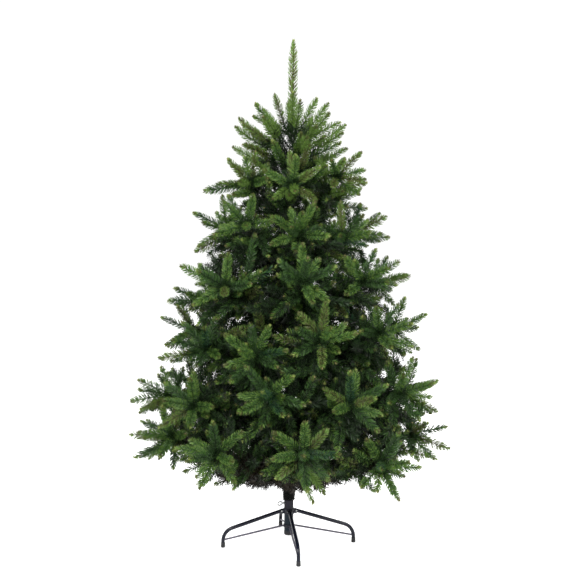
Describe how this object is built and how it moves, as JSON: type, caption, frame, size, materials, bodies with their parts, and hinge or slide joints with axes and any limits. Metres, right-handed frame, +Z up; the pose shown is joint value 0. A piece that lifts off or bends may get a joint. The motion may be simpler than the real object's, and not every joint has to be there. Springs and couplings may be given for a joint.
{
  "type": "artificial christmas tree",
  "caption": "Bare artificial Christmas tree with moulded needle tips on wired boughs, round a steel pole in a folding stand with splayed tubular legs and rubber feet.",
  "frame": {"origin": "on the floor, under the centre of the whole tree's box, at the stand tube's axis", "axes": "+Z up along the stand's tube, -Y towards the front of the tree, +X to its right"},
  "size_m": [1.1124, 1.1362, 1.8],
  "materials": {
    "powder_coated_steel": "satin slate-black powder coat",
    "zinc_plated_steel": "bright zinc plate",
    "moulded_rubber": "matt black rubber",
    "dark_painted_pole": "dark green paint",
    "wrapped_wire": "steel wire wrapped in fine dark green needles",
    "moulded_needles": "satin moulded needles in mixed greens"
  },
  "bodies": {
    "root": {"stand_tube": "powder_coated_steel", "brace_collar": "powder_coated_steel", "leg_hub": "powder_coated_steel", "thumb_screw": "zinc_plated_steel", "leg_right": "powder_coated_steel", "leg_back": "powder_coated_steel", "leg_left": "powder_coated_steel", "leg_front": "powder_coated_steel", "foot_cap_right": "moulded_rubber", "foot_cap_back": "moulded_rubber", "foot_cap_left": "moulded_rubber", "foot_cap_front": "moulded_rubber", "brace_right": "powder_coated_steel", "brace_back": "powder_coated_steel", "brace_left": "powder_coated_steel", "brace_front": "powder_coated_steel", "centre_pole": "dark_painted_pole", "bough_ring1_1": "wrapped_wire", "bough_ring1_2": "wrapped_wire", "bough_ring1_3": "wrapped_wire", "bough_ring1_4": "wrapped_wire", "bough_ring1_5": "wrapped_wire", "bough_ring2_1": "wrapped_wire", "bough_ring2_2": "wrapped_wire", "bough_ring2_3": "wrapped_wire", "bough_ring2_4": "wrapped_wire", "bough_ring2_5": "wrapped_wire", "bough_ring3_1": "wrapped_wire", "bough_ring3_2": "wrapped_wire", "bough_ring3_3": "wrapped_wire", "bough_ring3_4": "wrapped_wire", "bough_ring3_5": "wrapped_wire", "foliage_ring1_1": "moulded_needles", "foliage_ring1_2": "moulded_needles", "foliage_ring1_3": "moulded_needles", "foliage_ring1_4": "moulded_needles", "foliage_ring1_5": "moulded_needles", "foliage_ring2_1": "moulded_needles", "foliage_ring2_2": "moulded_needles", "foliage_ring2_3": "moulded_needles", "foliage_ring2_4": "moulded_needles", "foliage_ring2_5": "moulded_needles", "foliage_ring3_1": "moulded_needles", "foliage_ring3_2": "moulded_needles", "foliage_ring3_3": "moulded_needles", "foliage_ring3_4": "moulded_needles", "foliage_ring3_5": "moulded_needles", "foliage_ring4_1": "moulded_needles", "foliage_ring4_2": "moulded_needles", "foliage_ring4_3": "moulded_needles", "foliage_ring4_4": "moulded_needles", "foliage_ring5_1": "moulded_needles", "foliage_ring5_2": "moulded_needles", "foliage_ring5_3": "moulded_needles", "foliage_ring5_4": "moulded_needles", "foliage_ring6_1": "moulded_needles", "foliage_ring6_2": "moulded_needles", "foliage_ring6_3": "moulded_needles", "foliage_top": "moulded_needles"}
  },
  "joints": []
}
